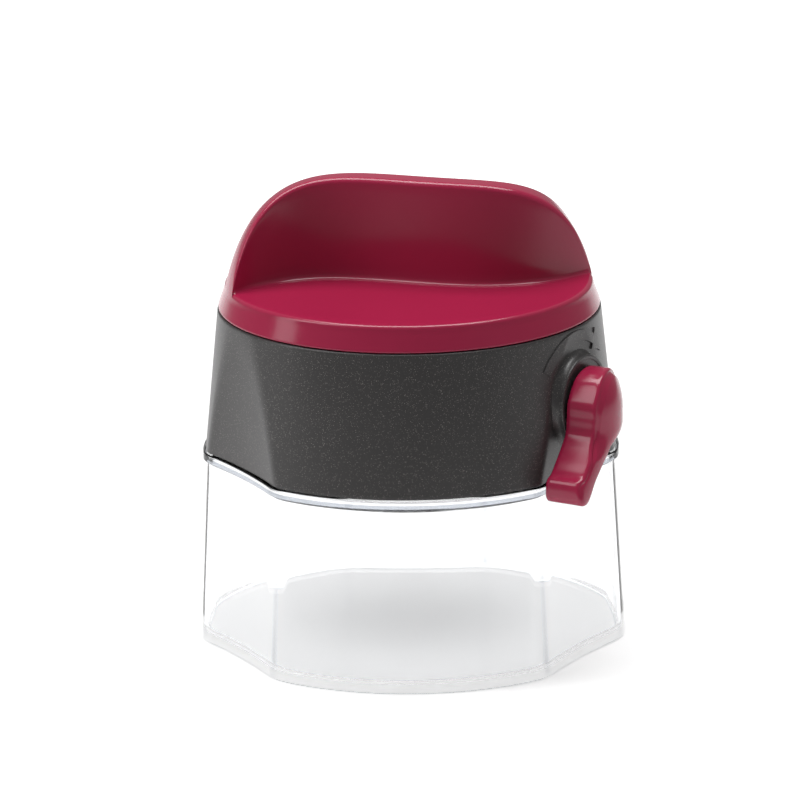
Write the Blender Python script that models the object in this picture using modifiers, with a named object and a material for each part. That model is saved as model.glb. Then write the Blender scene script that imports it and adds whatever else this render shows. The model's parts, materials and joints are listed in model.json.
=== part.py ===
"""Apple peeler corer: a clear catch bowl, a housing with a twist cap, a corer tube and a swinging blade.

Z is up and the origin is the centre of the bowl's underside. The front is -Y. The lever sits on the flat
that faces LEVER_SIDE. Sizes are in millimetres here and are turned to metres by MM.
"""
import math

import bmesh
import bpy
from mathutils import Matrix, Vector

MM = 0.001
GAP = 0.3                      # clearance between pieces that touch
STEPS = 40                     # sides of a full turn on large turned pieces
SMALL_STEPS = 20               # sides of a full turn on screws, pins and bushes

# plan shape shared by the bowl and the housing: three round sides and three shallow hollow flats
FLAT_DIRECTIONS = (90.0, 210.0, 330.0)
FLAT_HOLLOW_R = 209.0
CORNER_CUT_DEG = 1.2
FLAT_PARTS = 6
ARC_PARTS = 12

BOWL_FOOT_R = 75.0
BOWL_TOP_R = 71.3
BOWL_HEIGHT = 68.4
BOWL_WALL = 2.2
BOWL_FLOOR = 2.6
BOWL_FLAT_DROP = 6.15          # how far a flat's middle lies inside the round sides
RIM_HEIGHT = 3.0
RIM_STEP = 1.6

HOUSING_FOOT_R = 71.9
HOUSING_TOP_R = 66.9
HOUSING_HEIGHT = 50.3
HOUSING_WALL = 2.6
HOUSING_FLAT_DROP = 6.05
HOUSING_RINGS = 5
LEDGE_THICK = 3.0
LEDGE_DROP = 10.0              # ledge underside below the housing's top

RING_WALL = 5.0
CAP_WALL = 2.4
CAP_BAND_R = 66.6
CAP_BAND_HEIGHT = 8.2
CAP_RIM_R = 64.3
CAP_RIM_FILLET = 0.9
DOME_HEIGHT = 36.9
DOME_ROUND = 4.7               # exponents of the dome's section
DOME_SHOULDER = 1.54
CREST_HALF = 5.0
CREST_TWIST = 1.40e-4          # cubic and linear terms of the crest's S line
CREST_LEAN = 0.316
RECESS_RISE = 0.8              # recess floor above the rim
PLATE_THICK = 2.0
SKIRT_WALL = 2.4
HOOK = 0.8
POST_R = 3.5
CAP_SCREW_CIRCLE = 46.0

LEVER_SIDE = 330.0
LEVER_AXIS_RISE = 25.3         # above the housing's foot
BOSS_R = 15.5
BOSS_STAND = 4.6               # boss face beyond the flat's middle
BOSS_INSIDE = 6.3              # boss length inside the wall
BOSS_INNER_R = 10.0
SHAFT_R = 3.0
SHAFT_END_R = 2.2
BUSH_WALL = 2.7
BUSH_FLANGE_R = 8.5
BUSH_FLANGE = 1.5
WASHER_THICK = 0.8
CLIP_THICK = 0.8
LEVER_HUB_R = 13.0
LEVER_HUB_LENGTH = 14.0
LEVER_TAIL_DEPTH = 14.9
TAIL_FRONT = ((0.0, 7.0), (11.5, 5.0), (13.3, 0.0), (14.2, -5.0), (15.4, -9.6), (18.6, -13.6), (24.9, -20.1))
TAIL_TOE = ((27.5, -21.4), (28.6, -23.6), (28.6, -27.6), (26.8, -29.6), (23.0, -29.7), (20.6, -27.6))
TAIL_BACK = ((18.4, -23.9), (14.2, -20.3), (9.4, -16.9), (5.4, -13.9), (0.0, -12.4), (-4.0, -9.0))

ARM_START = 80.0               # degrees from straight up, clockwise seen from outside
ARM_REACH = 38.0
ARM_THICK = 3.5
ARM_HALF = 4.0
ARM_HUB_R = 8.0
ARM_HUB_LENGTH = 6.3
LEG_HALF = 2.0
LEG_END = 14.0
PIN_R = 1.2
HOLDER_LENGTH = 16.0
CHEEK_THICK = 2.0
BLADE_LENGTH = 16.0
BLADE_WIDTH = 6.0
BLADE_THICK = 0.8
BLADE_INSET = 5.4              # blade nearer the apple than the pin

TUBE_R = 9.5
TUBE_WALL = 0.8
TUBE_RISE = 23.9               # tube's end above the housing's foot
HUB_R = 14.0
HUB_DROP = 15.7                # hub's underside below the housing's foot
HUB_THICK = 4.0
COLLAR_R = 12.5
COLLAR_THICK = 2.4
SPIDER_RING_R = 62.8
SPIDER_RING_WIDTH = 3.6
SPIDER_THICK = 3.0
SPIDER_RISE = 1.5              # ring underside above the housing's foot
SPOKE_WIDTH = 7.0
SPOKE_THICK = 3.4
SPOKE_DIRECTIONS = (330.0, 240.0, 150.0)
EAR_DIRECTIONS = (270.0, 30.0, 150.0)
EAR_CIRCLE = 63.6
EAR_R = 4.4
LUG_LENGTH = 10.0

SCREW_R = 1.5
SCREW_HEAD_R = 2.9
SCREW_HEAD = 2.0

ROD_R = 1.8
ROD_HEAD_R = 3.1
ROD_HEAD = 1.8
FORK_DISC_R = 17.0
FORK_DISC = 2.5
FORK_HUB_R = 5.0
FORK_HUB = 5.0
FORK_TRAVEL = 12.0
FORK_RISE = 30.3               # fork disc's underside above the housing's foot
PRONG_R = 0.9
PRONG_CIRCLE = 13.6
PRONG_LENGTH = 12.0
PRONG_COUNT = 4
NUT_HALF = 3.4
NUT_THICK = 2.6
SPRING_R = 6.6
SPRING_WIRE_R = 0.45
SPRING_TURNS = 4

# heights and distances that follow from the sizes above
HOUSING_FOOT = BOWL_HEIGHT + GAP
HOUSING_TOP = HOUSING_FOOT + HOUSING_HEIGHT
LEVER_AXIS_Z = HOUSING_FOOT + LEVER_AXIS_RISE
TUBE_TOP = HOUSING_FOOT + TUBE_RISE
HUB_BASE = HOUSING_FOOT - HUB_DROP
FORK_REST = HOUSING_FOOT + FORK_RISE
CAP_FOOT = HOUSING_TOP + GAP
CAP_RIM = CAP_FOOT + CAP_BAND_HEIGHT
RECESS_FLOOR = CAP_RIM + RECESS_RISE
PLATE_TOP = CAP_FOOT + PLATE_THICK
POST_FOOT = PLATE_TOP + GAP
CAP_ROOF = RECESS_FLOOR - CAP_WALL
HOUSING_FLAT = HOUSING_FOOT_R - HOUSING_FLAT_DROP
BOSS_FACE = HOUSING_FLAT + BOSS_STAND
BOSS_BACK = HOUSING_FLAT - BOSS_INSIDE - HOUSING_WALL
SPIDER_FOOT = HOUSING_FOOT + SPIDER_RISE
SPIDER_TOP = SPIDER_FOOT + SPIDER_THICK
HOLE_R = SCREW_R + GAP
RING_OUTER = HOUSING_TOP_R - HOUSING_WALL - GAP - 0.2
RING_INNER = RING_OUTER - RING_WALL
RING_LOW = HOUSING_TOP - LEDGE_DROP + LEDGE_THICK + GAP
SKIRT_R = RING_INNER - GAP
HOOK_R = SKIRT_R + HOOK
LEDGE_R = HOOK_R + 2 * GAP

RED = (0.42, 0.010, 0.050)
DARK = (0.035, 0.033, 0.032)
STEEL = (0.62, 0.62, 0.63)
PALE = (0.78, 0.78, 0.76)


def clear_scene():
    for old in list(bpy.data.objects):
        bpy.data.objects.remove(old, do_unlink=True)


def collection(name):
    made = bpy.data.collections.new(name)
    bpy.context.scene.collection.children.link(made)
    return made


def material(name, colour, roughness, metallic=0.0, alpha=1.0):
    made = bpy.data.materials.new(name)
    made.use_nodes = True
    shader = made.node_tree.nodes["Principled BSDF"]
    shader.inputs["Base Color"].default_value = (*colour, 1.0)
    shader.inputs["Roughness"].default_value = roughness
    shader.inputs["Metallic"].default_value = metallic
    shader.inputs["Alpha"].default_value = alpha
    made.diffuse_color = (*colour, alpha)
    return made


def put(obj, home, parent=None):
    home.objects.link(obj)
    obj.parent = parent
    return obj


def finish(obj, look):
    """Give a piece its own material and smooth its round sides."""
    obj.data.materials.clear()
    obj.data.materials.append(material(obj.name + "_look", *look))
    if obj.type == "MESH" and not obj.modifiers:
        obj.data.shade_smooth()
        obj.data.set_sharp_from_angle(angle=math.radians(35))
    return obj


def hide_cutter(obj):
    obj.hide_render = True
    obj.display_type = "WIRE"
    return obj


def turned(name, profile, home, steps=STEPS, parent=None, closed=True, frame=None):
    """Turn a section of (radius, height) points about Z; the points run down the outer side."""
    mesh = bpy.data.meshes.new(name)
    points = [(r * MM, 0.0, z * MM) for r, z in profile]
    edges = [(i, i + 1) for i in range(len(points) - 1)]
    if closed:
        edges.append((len(points) - 1, 0))
    mesh.from_pydata(points, edges, [])
    obj = put(bpy.data.objects.new(name, mesh), home, parent)
    turn = obj.modifiers.new("turn", "SCREW")
    turn.angle = math.tau
    turn.steps = steps
    turn.render_steps = steps
    turn.merge_threshold = 0.00001
    turn.use_merge_vertices = True
    turn.use_smooth_shade = True
    if frame is not None:
        obj.matrix_basis = frame
    return obj


def disc_section(radius, low, high):
    """Half section of a plain solid disc or pin."""
    return [(0.0, high), (radius, high), (radius, low), (0.0, low)]


def ring_section(outer, inner, low, high):
    return [(outer, high), (outer, low), (inner, low), (inner, high)]


def solid_disc(name, radius, low, high, home, steps=SMALL_STEPS, parent=None, frame=None):
    return turned(name, disc_section(radius, low, high), home, steps, parent, False, frame)


def block(name, low, high, home, parent=None, frame=None):
    """A box between two corners."""
    mesh = bpy.data.meshes.new(name)
    box = bmesh.new()
    bmesh.ops.create_cube(box, size=1.0)
    size = [(h - l) * MM for l, h in zip(low, high)]
    middle = [(h + l) / 2 * MM for l, h in zip(low, high)]
    bmesh.ops.scale(box, vec=size, verts=box.verts)
    bmesh.ops.translate(box, vec=middle, verts=box.verts)
    box.to_mesh(mesh)
    box.free()
    obj = put(bpy.data.objects.new(name, mesh), home, parent)
    if frame is not None:
        obj.matrix_basis = frame
    return obj


def curve_to_mesh(curve_obj, home):
    """Turn a filled curve into a closed mesh in the same place."""
    bpy.context.view_layer.update()
    seen = curve_obj.evaluated_get(bpy.context.evaluated_depsgraph_get())
    mesh = bpy.data.meshes.new_from_object(seen)
    weld = bmesh.new()
    weld.from_mesh(mesh)
    bmesh.ops.remove_doubles(weld, verts=weld.verts, dist=0.000001)
    bmesh.ops.recalc_face_normals(weld, faces=weld.faces)
    weld.to_mesh(mesh)
    weld.free()
    name = curve_obj.name
    place = curve_obj.matrix_world.copy()
    bpy.data.objects.remove(curve_obj, do_unlink=True)
    obj = put(bpy.data.objects.new(name, mesh), home)
    obj.matrix_world = place
    return obj


def prism(name, outline, low, high, home):
    """A flat outline in the XY plane, pulled up between two heights."""
    curve = bpy.data.curves.new(name, "CURVE")
    curve.dimensions = "2D"
    curve.fill_mode = "BOTH"
    curve.extrude = (high - low) / 2 * MM
    line = curve.splines.new("POLY")
    line.points.add(len(outline) - 1)
    for point, (x, y) in zip(line.points, outline):
        point.co = (x * MM, y * MM, 0.0, 1.0)
    line.use_cyclic_u = True
    obj = put(bpy.data.objects.new(name, curve), home)
    obj.location.z = (high + low) / 2 * MM
    return curve_to_mesh(obj, home)


def combine(obj, other, how):
    step = obj.modifiers.new(how.lower(), "BOOLEAN")
    step.operation = how
    step.object = other
    hide_cutter(other)
    return obj


def cut_all(obj, tools, home):
    """Take several cutters out of a piece in one step."""
    group = bpy.data.collections.new(obj.name + "_cuts")
    home.children.link(group)
    for tool in tools:
        home.objects.unlink(tool)
        group.objects.link(hide_cutter(tool))
    step = obj.modifiers.new("cuts", "BOOLEAN")
    step.operation = "DIFFERENCE"
    step.operand_type = "COLLECTION"
    step.collection = group
    return obj


def bevel(obj, width, segments=2, angle=40.0):
    edge = obj.modifiers.new("edges", "BEVEL")
    edge.width = width * MM
    edge.segments = segments
    edge.limit_method = "ANGLE"
    edge.angle_limit = math.radians(angle)
    return obj


def along_x(distance=0.0):
    """Frame that lays a turned piece's axis along +X."""
    return Matrix.Translation((distance * MM, 0, 0)) @ Matrix.Rotation(math.radians(90), 4, "Y")


def polar(radius, degrees, height=0.0):
    turn = math.radians(degrees)
    return Vector((radius * math.cos(turn), radius * math.sin(turn), height)) * MM


# ---- plan shape -------------------------------------------------------------------------------------

def corner_angle(round_r, flat):
    """Half the angle that a hollow flat spans, where it meets the round sides."""
    centre = flat + FLAT_HOLLOW_R
    cosine = (round_r ** 2 + centre ** 2 - FLAT_HOLLOW_R ** 2) / (2 * round_r * centre)
    return math.degrees(math.acos(cosine))


def flat_distance(degrees, flat):
    """Distance to a hollow flat, so many degrees from its middle."""
    centre = flat + FLAT_HOLLOW_R
    turn = math.radians(degrees)
    return centre * math.cos(turn) - math.sqrt(FLAT_HOLLOW_R ** 2 - (centre * math.sin(turn)) ** 2)


def plan(round_r, flat, height):
    """One level of the three-sided plan: hollow flats joined by round sides, corners cut."""
    corner = corner_angle(round_r, flat)
    cut = min(CORNER_CUT_DEG, corner / 3)
    points = []
    for middle in FLAT_DIRECTIONS:
        for step in range(FLAT_PARTS + 1):
            off = (corner - cut) * (2 * step / FLAT_PARTS - 1)
            points.append(polar(flat_distance(off, flat), middle + off, height))
        start = corner + cut
        for step in range(ARC_PARTS + 1):
            off = start + (120 - 2 * start) * step / ARC_PARTS
            points.append(polar(round_r, middle + off, height))
    return points


def loft(name, levels, home, looped=False):
    """Skin a stack of levels; the ends are filled, or joined to each other when looped."""
    shape = bmesh.new()
    rings = [[shape.verts.new(point) for point in level] for level in levels]
    pairs = list(zip(rings, rings[1:]))
    if looped:
        pairs.append((rings[-1], rings[0]))
    count = len(rings[0])
    for below, above in pairs:
        for i in range(count):
            j = (i + 1) % count
            shape.faces.new((below[i], below[j], above[j], above[i]))
    if not looped:
        shape.faces.new(list(reversed(rings[0])))
        shape.faces.new(rings[-1])
    mesh = bpy.data.meshes.new(name)
    bmesh.ops.recalc_face_normals(shape, faces=shape.faces)
    shape.to_mesh(mesh)
    shape.free()
    return put(bpy.data.objects.new(name, mesh), home)


# ---- bowl -------------------------------------------------------------------------------------------

def bowl_radius(height):
    return BOWL_FOOT_R + (BOWL_TOP_R - BOWL_FOOT_R) * height / BOWL_HEIGHT


def bowl_level(height, grow):
    round_r = bowl_radius(height) + grow
    return plan(round_r, round_r - BOWL_FLAT_DROP, height)


def make_bowl(home):
    under_rim = BOWL_HEIGHT - RIM_HEIGHT
    levels = [
        bowl_level(0.0, -0.8),
        bowl_level(1.0, 0.0),
        bowl_level(under_rim - 0.6, 0.0),
        bowl_level(under_rim, RIM_STEP),
        bowl_level(BOWL_HEIGHT - 0.4, RIM_STEP),
        bowl_level(BOWL_HEIGHT, RIM_STEP - 0.4),
        bowl_level(BOWL_HEIGHT, -BOWL_WALL),
        bowl_level(BOWL_FLOOR + 2.0, -BOWL_WALL),
        bowl_level(BOWL_FLOOR, -BOWL_WALL - 2.0),
    ]
    bowl = loft("bowl", levels, home)
    return finish(bowl, ((0.90, 0.93, 0.95), 0.05, 0.0, 0.35))


# ---- housing ----------------------------------------------------------------------------------------

def housing_level(share, shrink):
    """Level of the housing's wall: the flats stand upright and run out into the round top."""
    round_r = HOUSING_FOOT_R + (HOUSING_TOP_R - HOUSING_FOOT_R) * share
    top_flat = HOUSING_TOP_R - 0.05
    flat = HOUSING_FLAT + (top_flat - HOUSING_FLAT) * share
    return plan(round_r - shrink, flat - shrink, HOUSING_FOOT + HOUSING_HEIGHT * share)


def lever_frame():
    """Axes of the lever side: X points out of the flat, Z up, origin on the lever's axis."""
    return Matrix.Translation((0, 0, LEVER_AXIS_Z * MM)) @ Matrix.Rotation(math.radians(LEVER_SIDE), 4, "Z")


def boss_section():
    """Outer boss: a foot that flares onto the flat, then a flat ring face."""
    inner = BOSS_BACK
    wall = HOUSING_FLAT
    return [
        (0.0, BOSS_FACE),
        (BOSS_R - 0.6, BOSS_FACE),
        (BOSS_R, BOSS_FACE - 0.6),
        (BOSS_R, wall + 2.6),
        (BOSS_R + 0.5, wall + 1.5),
        (BOSS_R + 2.0, wall),
        (BOSS_INNER_R, wall - 1.6),
        (BOSS_INNER_R, inner),
        (0.0, inner),
    ]


def make_housing(home, cutters):
    shares = [step / HOUSING_RINGS for step in range(HOUSING_RINGS + 1)]
    outside = [housing_level(share, 0.0) for share in shares]
    inside = [housing_level(share, HOUSING_WALL) for share in reversed(shares)]
    housing = loft("housing", outside + inside, home, looped=True)

    ledge_low = HOUSING_TOP - LEDGE_DROP
    ledge_section = ring_section(HOUSING_TOP_R - 1.0, LEDGE_R, ledge_low, ledge_low + LEDGE_THICK)
    ledge = turned("ledge", ledge_section, cutters)
    combine(housing, ledge, "UNION")
    boss = turned("boss", boss_section(), cutters, 36, None, False, lever_frame() @ along_x())
    combine(housing, boss, "UNION")
    low = SPIDER_TOP + GAP
    places = [Matrix.Translation(polar(EAR_CIRCLE, direction)) for direction in EAR_DIRECTIONS]
    for number, place in enumerate(places):
        lug = solid_disc(f"lug_{number}", EAR_R + 1.2, low, low + LUG_LENGTH, cutters, 16, None, place)
        combine(housing, lug, "UNION")
    bore_r = SHAFT_R + GAP + BUSH_WALL + GAP
    tools = [solid_disc("boss_bore", bore_r, BOSS_BACK - 1, BOSS_FACE + 1, cutters, 24, None,
                        lever_frame() @ along_x())]
    for number, place in enumerate(places):
        top = low + LUG_LENGTH - 3.0
        tools.append(solid_disc(f"lug_hole_{number}", HOLE_R, low - 1, top, cutters, 12, None, place))
    cut_all(housing, tools, cutters)
    return finish(housing, (DARK, 0.42))


# ---- spider, corer tube -----------------------------------------------------------------------------

def spoke_frame(direction):
    """Frame along a sloping spoke, from the hub out to the ring, short of the deck screws' heads."""
    inner = Vector((HUB_R - 3.0, 0, HUB_BASE + HUB_THICK / 2))
    outer = Vector((EAR_CIRCLE - SCREW_HEAD_R - 2 * GAP, 0, SPIDER_FOOT + SPIDER_THICK / 2))
    run = outer - inner
    tilt = math.atan2(run.z, run.x)
    turn = Matrix.Rotation(math.radians(direction), 4, "Z")
    return turn @ Matrix.Translation(inner * MM) @ Matrix.Rotation(-tilt, 4, "Y"), run.length


def make_spider(home, cutters):
    ring = ring_section(SPIDER_RING_R, SPIDER_RING_R - SPIDER_RING_WIDTH, SPIDER_FOOT, SPIDER_TOP)
    spider = turned("peel_deck", ring, home)
    hub = solid_disc("deck_hub", HUB_R, HUB_BASE, HUB_BASE + HUB_THICK, cutters, 32)
    for direction in SPOKE_DIRECTIONS:
        frame, length = spoke_frame(direction)
        low = (0.0, -SPOKE_WIDTH / 2, -SPOKE_THICK / 2)
        high = (length, SPOKE_WIDTH / 2, SPOKE_THICK / 2)
        spoke = block(f"spoke_{direction:.0f}", low, high, cutters, None, frame)
        combine(hub, spoke, "UNION")
    combine(spider, hub, "UNION")
    tools = [solid_disc("deck_bore", TUBE_R + GAP, HUB_BASE - 1, HUB_BASE + HUB_THICK + 1, cutters, 32)]
    for number, direction in enumerate(EAR_DIRECTIONS):
        place = Matrix.Translation(polar(EAR_CIRCLE, direction))
        ear = solid_disc(f"ear_{number}", EAR_R, SPIDER_FOOT, SPIDER_TOP, cutters, 20, None, place)
        combine(spider, ear, "UNION")
        hole = solid_disc(f"ear_hole_{number}", HOLE_R, SPIDER_FOOT - 1, SPIDER_TOP + 1, cutters, 12, None, place)
        tools.append(hole)
    cut_all(spider, tools, cutters)
    return finish(spider, (DARK, 0.5))


def make_corer(home, cutters):
    flange = HUB_BASE - GAP
    tube = [
        (TUBE_R - TUBE_WALL / 2, TUBE_TOP),
        (TUBE_R, TUBE_TOP - 2.0),
        (TUBE_R, flange),
        (TUBE_R + 1.4, flange),
        (TUBE_R + 1.4, flange - TUBE_WALL),
        (TUBE_R - TUBE_WALL, flange - TUBE_WALL),
        (TUBE_R - TUBE_WALL, TUBE_TOP - 0.6),
    ]
    corer = turned("corer_tube", tube, home, 32)
    finish(corer, (STEEL, 0.25, 1.0))
    top = HUB_BASE + HUB_THICK + GAP
    collar = [
        (COLLAR_R - 0.6, top + COLLAR_THICK),
        (COLLAR_R, top + COLLAR_THICK - 0.6),
        (COLLAR_R, top),
        (TUBE_R + GAP, top),
        (TUBE_R + GAP, top + COLLAR_THICK),
    ]
    nut = turned("corer_collar", collar, home, 32)
    finish(nut, (PALE, 0.45))


def screw_section(head_under, tip):
    """Pan head screw that points up: head below head_under, shank up to tip."""
    return [
        (0.0, tip),
        (SCREW_R - 0.7, tip),
        (SCREW_R, tip - 1.0),
        (SCREW_R, head_under),
        (SCREW_HEAD_R, head_under),
        (SCREW_HEAD_R, head_under - SCREW_HEAD + 0.6),
        (SCREW_HEAD_R - 0.9, head_under - SCREW_HEAD),
        (0.0, head_under - SCREW_HEAD),
    ]


def make_screws(base, count, circle, directions, head_under, tip, home):
    for number in range(count):
        place = Matrix.Translation(polar(circle, directions[number]))
        section = screw_section(head_under, tip)
        screw = turned(f"{base}_{number + 1}", section, home, 14, None, False, place)
        finish(screw, (STEEL, 0.3, 1.0))


# ---- cap --------------------------------------------------------------------------------------------

def dome_section(inset, foot):
    """Outer line of the cap, moved in by inset, from the crown down to foot."""
    line = []
    parts = 12
    for step in range(parts + 1):
        turn = math.radians(90 * step / parts)
        radius = (CAP_RIM_R - inset) * math.sin(turn) ** (2 / DOME_ROUND)
        height = CAP_RIM + (DOME_HEIGHT - inset) * max(math.cos(turn), 0.0) ** DOME_SHOULDER
        line.append((radius, height))
    line[-1] = (CAP_RIM_R - inset, CAP_RIM)
    line.append((CAP_RIM_R - inset + CAP_RIM_FILLET, CAP_RIM - CAP_RIM_FILLET))
    line.append((CAP_BAND_R - inset, foot))
    line.append((0.0, foot))
    return line


def crest_line(x):
    return CREST_TWIST * x ** 3 - CREST_LEAN * x


def crest_slope(x):
    return 3 * CREST_TWIST * x ** 2 - CREST_LEAN


def recess(name, side, inset, cutters):
    """Space in front of (side -1) or behind (side +1) the crest, above the recess floor."""
    reach = 80.0
    parts = 32
    half = CREST_HALF - inset
    curve = [(reach * (2 * i / parts - 1)) for i in range(parts + 1)]
    outline = [(x, crest_line(x) + side * half * math.hypot(1, crest_slope(x))) for x in curve]
    outline += [(reach, side * 120.0), (-reach, side * 120.0)]
    return prism(name, outline, RECESS_FLOOR - inset, CAP_RIM + DOME_HEIGHT + 8, cutters)


def cap_form(name, inset, foot, home, cutters):
    """The cap's solid form, moved in by inset."""
    form = turned(name, dome_section(inset, foot), home, STEPS, None, False)
    for side, word in ((-1, "front"), (1, "back")):
        combine(form, recess(f"{name}_{word}_recess", side, inset, cutters), "DIFFERENCE")
    return form


def make_cap(home, cutters):
    cap = cap_form("cap", 0.0, CAP_FOOT, home, cutters)
    inside = cap_form("cap_inside", CAP_WALL, CAP_FOOT - 2.0, cutters, cutters)
    pocket_top = PLATE_TOP + FORK_TRAVEL + 6
    pocket = solid_disc("rod_pocket", ROD_HEAD_R + GAP, CAP_FOOT - 1, pocket_top, cutters, 24)
    tools = [inside, pocket]
    for number, direction in enumerate(EAR_DIRECTIONS):
        place = Matrix.Translation(polar(CAP_SCREW_CIRCLE, direction))
        post = solid_disc(f"post_{number}", POST_R, POST_FOOT, CAP_ROOF + 0.8, cutters, 16, None, place)
        combine(inside, post, "DIFFERENCE")
        hole_top = CAP_ROOF - 0.4
        tools.append(solid_disc(f"post_hole_{number}", HOLE_R, POST_FOOT - 1, hole_top, cutters, 12, None, place))
    cut_all(cap, tools, cutters)
    return finish(cap, (RED, 0.18))


def make_cap_plate(home, cutters):
    hook_top = RING_LOW - GAP
    foot = hook_top - 1.4
    plate = [
        (RING_OUTER - 1.5, PLATE_TOP),
        (RING_OUTER - 1.5, CAP_FOOT),
        (SKIRT_R, CAP_FOOT),
        (SKIRT_R, hook_top),
        (HOOK_R, hook_top),
        (HOOK_R, hook_top - 0.6),
        (SKIRT_R, foot),
        (SKIRT_R - SKIRT_WALL, foot),
        (SKIRT_R - SKIRT_WALL, CAP_FOOT),
        (ROD_R + GAP, CAP_FOOT),
        (ROD_R + GAP, PLATE_TOP),
    ]
    made = turned("cap_plate", plate, home)
    tools = []
    for number, direction in enumerate(EAR_DIRECTIONS):
        place = Matrix.Translation(polar(CAP_SCREW_CIRCLE, direction))
        tools.append(solid_disc(f"plate_hole_{number}", HOLE_R, CAP_FOOT - 1, PLATE_TOP + 1, cutters, 12, None, place))
    cut_all(made, tools, cutters)
    finish(made, (DARK, 0.5))


def make_bearing_ring(home):
    high = CAP_FOOT - GAP
    outer_line = [(RING_OUTER - 0.6, high), (RING_OUTER, high - 0.6), (RING_OUTER, RING_LOW)]
    section = outer_line + [(RING_INNER, RING_LOW), (RING_INNER, high)]
    finish(turned("bearing_ring", section, home), (PALE, 0.45))


# ---- fork -------------------------------------------------------------------------------------------

def make_fork(home, cutters):
    head_low = PLATE_TOP + GAP
    nut_top = FORK_REST - GAP
    rod = [
        (0.0, head_low + ROD_HEAD),
        (ROD_HEAD_R - 0.5, head_low + ROD_HEAD),
        (ROD_HEAD_R, head_low + ROD_HEAD - 0.5),
        (ROD_HEAD_R, head_low),
        (ROD_R, head_low),
        (ROD_R, nut_top - NUT_THICK),
        (0.0, nut_top - NUT_THICK),
    ]
    finish(turned("spindle", rod, home, SMALL_STEPS, None, False), (STEEL, 0.25, 1.0))
    disc = [
        (FORK_HUB_R, FORK_REST + FORK_HUB),
        (FORK_HUB_R, FORK_REST + FORK_DISC),
        (FORK_DISC_R, FORK_REST + FORK_DISC),
        (FORK_DISC_R, FORK_REST),
        (ROD_R + GAP, FORK_REST),
        (ROD_R + GAP, FORK_REST + FORK_HUB),
    ]
    fork = turned("fork_disc", disc, home, 32)
    tools = []
    for number in range(PRONG_COUNT):
        place = Matrix.Translation(polar(PRONG_CIRCLE, 45 + 360 / PRONG_COUNT * number))
        top = FORK_REST + FORK_DISC + 1
        tools.append(solid_disc(f"prong_hole_{number}", PRONG_R + GAP, FORK_REST - 1, top, cutters, 12, None, place))
        make_prong(number, place, home)
    cut_all(fork, tools, cutters)
    finish(fork, (DARK, 0.45))
    make_nut("fork_nut", NUT_HALF, ROD_R + GAP, nut_top, home, cutters)


def make_nut(name, corner_r, bore_r, top, home, cutters, parent=None, frame=None):
    """Hexagonal nut that hangs below top."""
    nut = solid_disc(name, corner_r, top - NUT_THICK, top, home, 6, parent, frame)
    bore = solid_disc(name + "_bore", bore_r, top - NUT_THICK - 1, top + 1, cutters, 20, parent, frame)
    cut_all(nut, [bore], cutters)
    finish(nut, (STEEL, 0.3, 1.0))


def make_prong(number, place, home):
    top = FORK_REST + FORK_DISC + GAP
    tip = FORK_REST - PRONG_LENGTH
    section = [
        (0.0, top + 0.9),
        (PRONG_R + 0.8, top + 0.9),
        (PRONG_R + 0.8, top),
        (PRONG_R, top),
        (PRONG_R, tip + 3.0),
        (0.0, tip),
    ]
    prong = turned(f"fork_prong_{number + 1}", section, home, 12, None, False, place)
    finish(prong, (STEEL, 0.25, 1.0))


def coil(name, radius, wire, turns, low, high, home, per_turn=14):
    """A spring wound about Z with its last half turns lying flat."""
    curve = bpy.data.curves.new(name, "CURVE")
    curve.dimensions = "3D"
    curve.bevel_depth = wire * MM
    curve.bevel_resolution = 1
    curve.use_fill_caps = True
    count = turns * per_turn + 1
    line = curve.splines.new("POLY")
    line.points.add(count - 1)
    for i, point in enumerate(line.points):
        turn = math.tau * i / per_turn
        share = i / (count - 1)
        lift = low + wire + (high - low - 2 * wire) * share
        point.co = (radius * math.cos(turn) * MM, radius * math.sin(turn) * MM, lift * MM, 1.0)
    return put(bpy.data.objects.new(name, curve), home)


def make_spindle_spring(home):
    low = FORK_REST + FORK_DISC + GAP
    high = CAP_FOOT - GAP
    finish(coil("spindle_spring", SPRING_R, SPRING_WIRE_R, SPRING_TURNS, low, high, home), (STEEL, 0.3, 1.0))


# ---- lever side, in the lever's axes: X out of the flat ---------------------------------------------

def lever_stations():
    """Places along the lever's axis, worked inwards from the boss face."""
    bush_out = BOSS_FACE
    bush_in = BOSS_BACK - GAP
    flange_in = bush_in - BUSH_FLANGE
    washer = flange_in - GAP
    clip = washer - WASHER_THICK - GAP
    arm = clip - CLIP_THICK - GAP
    return {
        "bush_out": bush_out,
        "bush_in": bush_in,
        "flange_in": flange_in,
        "washer": washer,
        "clip": clip,
        "arm": arm,
        "arm_in": arm - ARM_HUB_LENGTH,
        "nut": arm - ARM_HUB_LENGTH - GAP,
    }


def make_pivot_bush(home, axis, at):
    inner = SHAFT_R + GAP
    outer = inner + BUSH_WALL
    section = [
        (outer - 0.4, at["bush_out"]),
        (outer, at["bush_out"] - 0.4),
        (outer, at["bush_in"]),
        (BUSH_FLANGE_R, at["bush_in"]),
        (BUSH_FLANGE_R, at["flange_in"]),
        (inner, at["flange_in"]),
        (inner, at["bush_out"]),
    ]
    finish(turned("pivot_bush", section, home, 24, axis, True, along_x()), (PALE, 0.4))
    low = at["washer"] - WASHER_THICK
    wavy = turned("thrust_washer", ring_section(BUSH_FLANGE_R - 1.5, inner, low, at["washer"]), home, 24, axis,
                  True, along_x())
    finish(wavy, (STEEL, 0.3, 1.0))


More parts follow.
